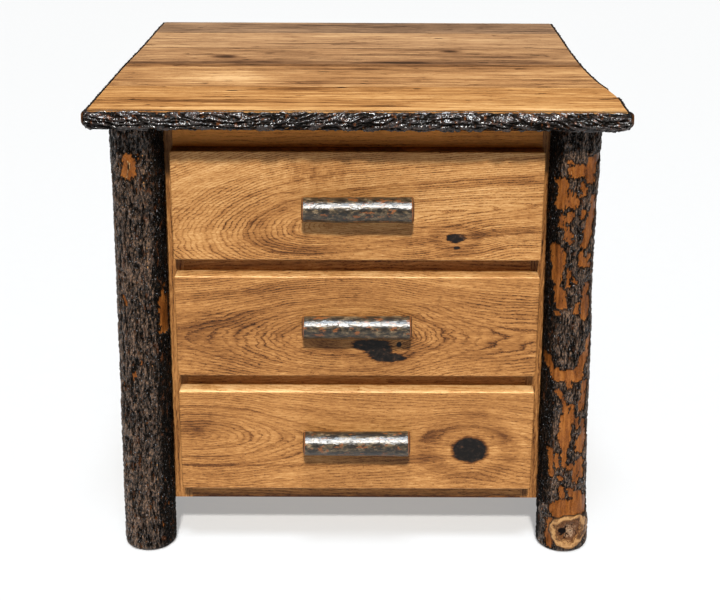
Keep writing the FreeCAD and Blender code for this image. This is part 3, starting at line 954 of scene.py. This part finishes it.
def blank(node, name, spacing):
    """A copy of a piece's mesh with points evenly spaced over it, ready for carving."""
    piece = copy_solid(node, name)
    bpy.ops.object.mode_set(mode="OBJECT")
    even = piece.modifiers.new("even", "REMESH")
    even.mode = "VOXEL"
    even.voxel_size = spacing
    bpy.ops.object.modifier_apply(modifier=even.name)
    return piece


front_low, front_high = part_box("top_bark_front")
front_round = 0.0052
front_crown = 0.0072
front_swell = 0.0018
front_sag = 0.0022
furrow_depth = 0.0056
furrow_wander = 0.011
furrow_wave = 0.075
furrow_crest_x = 0.11
front_spacing = 0.00065
end_swell = 0.003
end_flare = 0.03
end_low_round = 0.0095
end_other_round = 0.005


def rounding(inside_one, inside_other, radius):
    """How far a place near a square corner, given by its depth inside two faces, moves inwards from
    each of them to lie on the corner's round."""
    one, other = radius - inside_one, radius - inside_other
    if one <= 0 or other <= 0:
        return 0.0, 0.0
    shrink = 1 - max(one, other) / math.hypot(one, other)
    return one * shrink, other * shrink


def front_edge_shape(co, normal):
    """The front's bark: bulging, rounded at its ends, with long furrows that wander up and down.
    Its back and the joint with the board stay flat."""
    x, y, z = co
    way = math.copysign(1, x)
    half, middle = front_high.x, (front_low.z + front_high.z) / 2
    tall = (z - middle) / (front_high.z - front_low.z) * 2
    slide = furrow_wander * math.cos((x - furrow_crest_x) / furrow_wave)
    warp = cloud(x * 24, 0.3, z * 60, 2)
    run, rise = x + warp * 0.004, z - slide + warp * 0.0022
    furrow = abs(cloud(run * 34, y * 40, rise * 190, 2))
    groove = abs(cloud(run * 90 + 7, y * 90, rise * 430, 2))
    chip = cloud(x * 380, y * 380, z * 560, 3)
    relief = 0.52 * ease(furrow, 0.05, 0.38) + 0.30 * ease(groove, 0.03, 0.34)
    relief = min(1, max(0, relief + 0.18 * (0.5 + 0.6 * chip)))
    outward = ease(front_high.y - y, 0.0004, 0.0035)
    exposed = min(1, ease(-normal.y, -0.2, 0.4) + ease(abs(normal.x), 0.4, 0.9))
    exposed *= (1 - ease(normal.z, 0.5, 0.9)) * (1 - 0.8 * ease(tall, 0.5, 0.95))
    calm = ease(half - abs(x), 0.001, 0.012)
    place = co + normal * (outward * exposed * calm * (relief - 0.75) * furrow_depth)
    fall = front_crown * tall**1.7 if tall > 0 else front_round * (-tall) ** 2.2
    place.y -= outward * (front_swell - fall)
    place.z -= outward * front_sag * (0.5 - 0.5 * tall) * calm
    place.x += way * end_swell * ease(abs(x), half - end_flare, half)
    end_in = half - abs(x)
    inward, up = rounding(end_in, z - front_low.z, end_low_round)
    place.x -= way * inward
    place.z += up
    inward, down = rounding(end_in, front_high.z - z, end_other_round)
    place.x -= way * inward
    place.z -= down
    inward, back = rounding(end_in, y - front_low.y, end_other_round)
    place.x -= way * inward
    place.y += back
    rim = (1 - ease(end_in, 0.0012, 0.003)) * ease(abs(normal.x), 0.3, 0.8)
    return place, 1 - rim * 0.8, relief, knot_free


edge_finish = bark_finish(
    "edge_bark",
    roughness=0.3,
    light_ridge=(0.020, 0.0125, 0.0105),
    dark_ridge=(0.005, 0.003, 0.002),
    flake=0.8,
    depth=0.0004,
    glint=0.02,
    gloss=0.24,
    coat=1.0,
)
front_bark = blank("top_bark_front", "front_live_edge", front_spacing)
carve(front_bark, front_edge_shape)
front_bark.data.materials.append(edge_finish)
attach(front_bark, "case")
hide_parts("top_bark_front")
side_bumps = 0.0022
side_spacing = 0.0009


def side_edge_shape(co, normal):
    """The thin bark down a side, with short bumps."""
    x, y, z = co
    grain = cloud(x * 150, y * 90, z * 260, 3)
    chip = cloud(x * 700, y * 600, z * 800, 2)
    relief = min(1, max(0, 0.5 + 0.4 * grain + 0.3 * chip))
    outward = ease(normal.x * math.copysign(1, x), 0.3, 0.8)
    return co + normal * (outward * (relief - 0.55) * side_bumps), 1.0, relief, knot_free


for side in ("left", "right"):
    strip = blank("top_bark_" + side, side + "_live_edge", side_spacing)
    carve(strip, side_edge_shape)
    strip.data.materials.append(edge_finish)
    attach(strip, "case")
    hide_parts("top_bark_" + side)


# Drawers: a solid hickory front, its edges eased, screwed to a dovetailed maple box with a plywood
# bottom in grooves, and hung on steel slides. Each front was cut for its figure: the grain swells
# round a knot.
fronts = {
    "top": dict(
        seed=21.3,
        tone=0.06,
        pitch=0.0025,
        contrast=1.4,
        fan=(-0.033, 0.4295, 0.1, 0.39, 0.05, 2, 0.2),
        jagged=(62, 0.016),
        rings=[
            (0.0325, 0.0046, 0.28),
            (0.0375, 0.0012, 0.22),
            (0.017, 0.0014, 0.12),
            (0.0235, 0.0010, 0.1),
            (0.049, 0.0010, 0.12),
            (0.057, 0.0010, 0.12),
        ],
        domes=[(0.185, 0.402, 0.03, 0.014, 0.006)],
        knots=[(0.1165, 0.4115, 0.0100, 0.0056, 1.3), (0.1175, 0.3995, 0.0038, 0.0018, 0.9)],
        patches=[
            (-0.045, 0.490, 0.026, 0.011, -0.2),
            (0.14, 0.468, 0.10, 0.030, 0.19),
            (-0.13, 0.490, 0.09, 0.022, 0.10),
            (0.117, 0.406, 0.022, 0.012, -0.17),
            (0.08, 0.392, 0.05, 0.006, -0.16),
            # Painted shadow: the top face of this front is darkened, as if the top above shaded it.
            (0, 0.5168, 9, 0.0006, -0.55),
        ],
        curl=(-0.06, 0.489, 0.06, 0.016, 1.0),
    ),
    "middle": dict(
        seed=22.8,
        tone=-0.05,
        pitch=0.0026,
        contrast=1.2,
        jagged=(115, 0.022),
        fan=(-0.008, 0.284, 0.0, 0.33, 0.40, 1.9, 0.055),
        rings=[
            (0.060, 0.0022, 0.08),
            (0.051, 0.0012, 0.10),
            (0.042, 0.0009, 0.14),
            (0.034, 0.0008, 0.15),
            (0.026, 0.0008, 0.12),
            (0.017, 0.0007, 0.10),
        ],
        knots=[
            (0.018, 0.2748, 0.0230, 0.0070, 1.1),
            (0.026, 0.2670, 0.0150, 0.0062, 1.1),
            (0.037, 0.2585, 0.0200, 0.0058, 1.1),
            (0.051, 0.2756, 0.0030, 0.0034, 0.4),
        ],
        patches=[
            (-0.16, 0.30, 0.08, 0.012, -0.10),
            (-0.1, 0.345, 0.12, 0.012, -0.10),
            # Painted highlight: the top edge of this front is made lighter, as if it caught the
            # light.
            (0, 0.3619, 9, 0.0010, 0.34),
        ],
    ),
    "bottom": dict(
        seed=23.1,
        tone=-0.035,
        pitch=0.0032,
        contrast=0.8,
        streaks=0.3,
        fan=(-0.19, 0.152, -0.02, 0.05, 0.30, 1.8, 0.045),
        rings=[(0.040, 0.0013, 0.13), (0.029, 0.0011, 0.12), (0.018, 0.0010, 0.1)],
        knots=[(0.1405, 0.1340, 0.0214, 0.0168, 0.5)],
        patches=[
            (-0.2, 0.16, 0.022, 0.014, -0.26),
            (-0.13, 0.112, 0.08, 0.002, -0.2),
            (0.09, 0.118, 0.05, 0.014, -0.10),
            # Painted highlight: the top edge of this front is made lighter, as if it caught the
            # light.
            (0, 0.2125, 9, 0.0012, 0.36),
        ],
    ),
}
front_arris = 0.0011
maple_light = (0.56, 0.42, 0.265)
maple_dark = (0.42, 0.28, 0.15)
maple_box = plain_wood("maple_box", "xzy", maple_light, maple_dark, 2.0)
maple_side = plain_wood("maple_side", "yzx", maple_light, maple_dark, 3.0)


def ease_front(node):
    """A drawer front with the sharp edges round its face taken off."""
    front = copy_solid(node, node + "_eased")
    bpy.ops.mesh.select_mode(type="EDGE")
    bpy.ops.mesh.select_all(action="DESELECT")
    low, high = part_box(node)
    net = bmesh.from_edit_mesh(front.data)
    for edge in net.edges:
        one, other = edge.verts[0].co, edge.verts[1].co
        on_face = max(abs(one.y - low.y), abs(other.y - low.y)) < hair
        upright = abs(one.x - other.x) < hair
        level = abs(one.z - other.z) < hair
        at_end = upright and min(abs(one.x - low.x), abs(one.x - high.x)) < hair
        at_rim = level and min(abs(one.z - low.z), abs(one.z - high.z)) < hair
        edge.select_set(on_face and (at_end or at_rim))
    bmesh.update_edit_mesh(front.data)
    bpy.ops.mesh.bevel(offset=front_arris, segments=3, affect="EDGES")
    bpy.ops.object.mode_set(mode="OBJECT")
    return front


for name, figure in fronts.items():
    drawer = "drawer_" + name
    front = ease_front(drawer + "_front")
    front_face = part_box(drawer + "_front")[0].y
    front.data.materials.append(hickory(drawer + "_wood", "xzy", face=front_face, **figure))
    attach(front, drawer)
    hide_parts(drawer + "_front")
    dress(maple_box, drawer + "_box_front", drawer + "_box_back")
    dress(maple_side, drawer + "_side_left", drawer + "_side_right")
    dress(plywood_face, drawer + "_bottom")
    dress(slide_zinc, drawer + "_slide_inner", drawer + "_slide_middle")
    dress(screw_zinc, drawer + "_screws")


# Pulls: a length of young branch with its bark on under thick lacquer, planed flat at the back,
# chamfered round both ends and screwed on from inside the drawer.
pull_spacing = 0.0007
pull_chamfer = 0.0026
pull_taper = 0.09
pull_swell = 0.0007
pull_flakes = 0.00025
pull_flake_sink = 0.0002
pull_flat_back = 0.004


def pull_shape(centre, half_length, seed):
    """A pull's surface: smooth bark with shallow flakes, on a branch that swells a little."""

    def shape(co, normal):
        x, y, z = co
        flat = ease(normal.y, 0.8, 0.95)
        swell = cloud(x * 24 + seed, y * 30, z * 30, 2) * pull_swell
        flake = ease(cloud(x * 110 + seed, y * 230, z * 230, 3), -0.08, 0.1)
        chip = cloud(x * 420, y * 900, z * 900, 2)
        relief = min(1, max(0, 0.62 * flake + 0.38 * (0.5 + 0.6 * chip)))
        push = swell + relief * pull_flakes - pull_flake_sink
        place = co + normal * ((1 - flat) * push)
        end = half_length - abs(x)
        chamfer = 1 - ease(end, 0, pull_chamfer)
        away = Vector((0, y - centre.y, z - centre.z))
        if y < centre.y + pull_flat_back:
            place -= away * chamfer * pull_taper
        ring = ease(end, 0.0006, 0.0012) * (1 - ease(end, 0.0022, 0.003))
        return place, 1 - ring, relief, end * 1000

    return shape


def pull_finish():
    """Olive-grey bark, with copper-brown where its skin has flaked and black chips."""
    finish = Finish("pull_bark")
    x, y, z = finish.places()
    bark = finish.mark("bark")
    relief = finish.mark("relief")
    end = finish.mark("knot")
    mottle = finish.noise(x * 95, y * 210, z * 210, 5, 0.6)
    grit = finish.noise(x * 600, y * 1300, z * 1300, 3, 0.6)
    strands = finish.noise(x * 70, y * 900, z * 900, 3, 0.6)
    shade = (mottle - 0.5) * 1.8 + (grit - 0.5) * 0.6 + relief * 0.25 + 0.30
    colour = finish.ramp(
        shade,
        [
            (0.2, (0.003, 0.002, 0.001)),
            (0.36, (0.020, 0.013, 0.006)),
            (0.55, (0.062, 0.042, 0.021)),
            (0.8, (0.15, 0.105, 0.058)),
        ],
    )
    copper = finish.noise(x * 80 + 5, y * 170, z * 170, 4, 0.6).step(0.57, 0.61)
    chips = finish.noise(x * 150 + 9, y * 330, z * 330, 4, 0.65).step(0.53, 0.57)
    colour = finish.mix(copper * 0.85, colour, (0.15, 0.046, 0.008))
    colour = finish.mix(chips * 0.9, colour, (0.004, 0.0025, 0.001))
    colour = finish.mix(1 - bark.step(0.2, 0.8), colour, (0.12, 0.040, 0.012))
    colour = finish.mix(1 - end.step(0.6, 1.1), colour, (0.012, 0.007, 0.004))
    rough = 0.2 + (grit - 0.5) * 0.12
    height = grit * 0.15 + mottle * 0.5 + strands * 0.35
    values = dict(specular_ior_level=0.0, coat_roughness=0.34)
    return finish.surface(colour, rough, height, 0.00012, 1.0, **values)


pull_skin = pull_finish()
for name, figure in fronts.items():
    drawer = "drawer_" + name
    pull_low, pull_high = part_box(drawer + "_pull")
    centre = (pull_low + pull_high) / 2
    pull = blank(drawer + "_pull", drawer + "_branch", pull_spacing)
    carve(pull, pull_shape(centre, pull_high.x, figure["seed"]))
    pull.data.materials.append(pull_skin)
    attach(pull, drawer)
    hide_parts(drawer + "_pull")
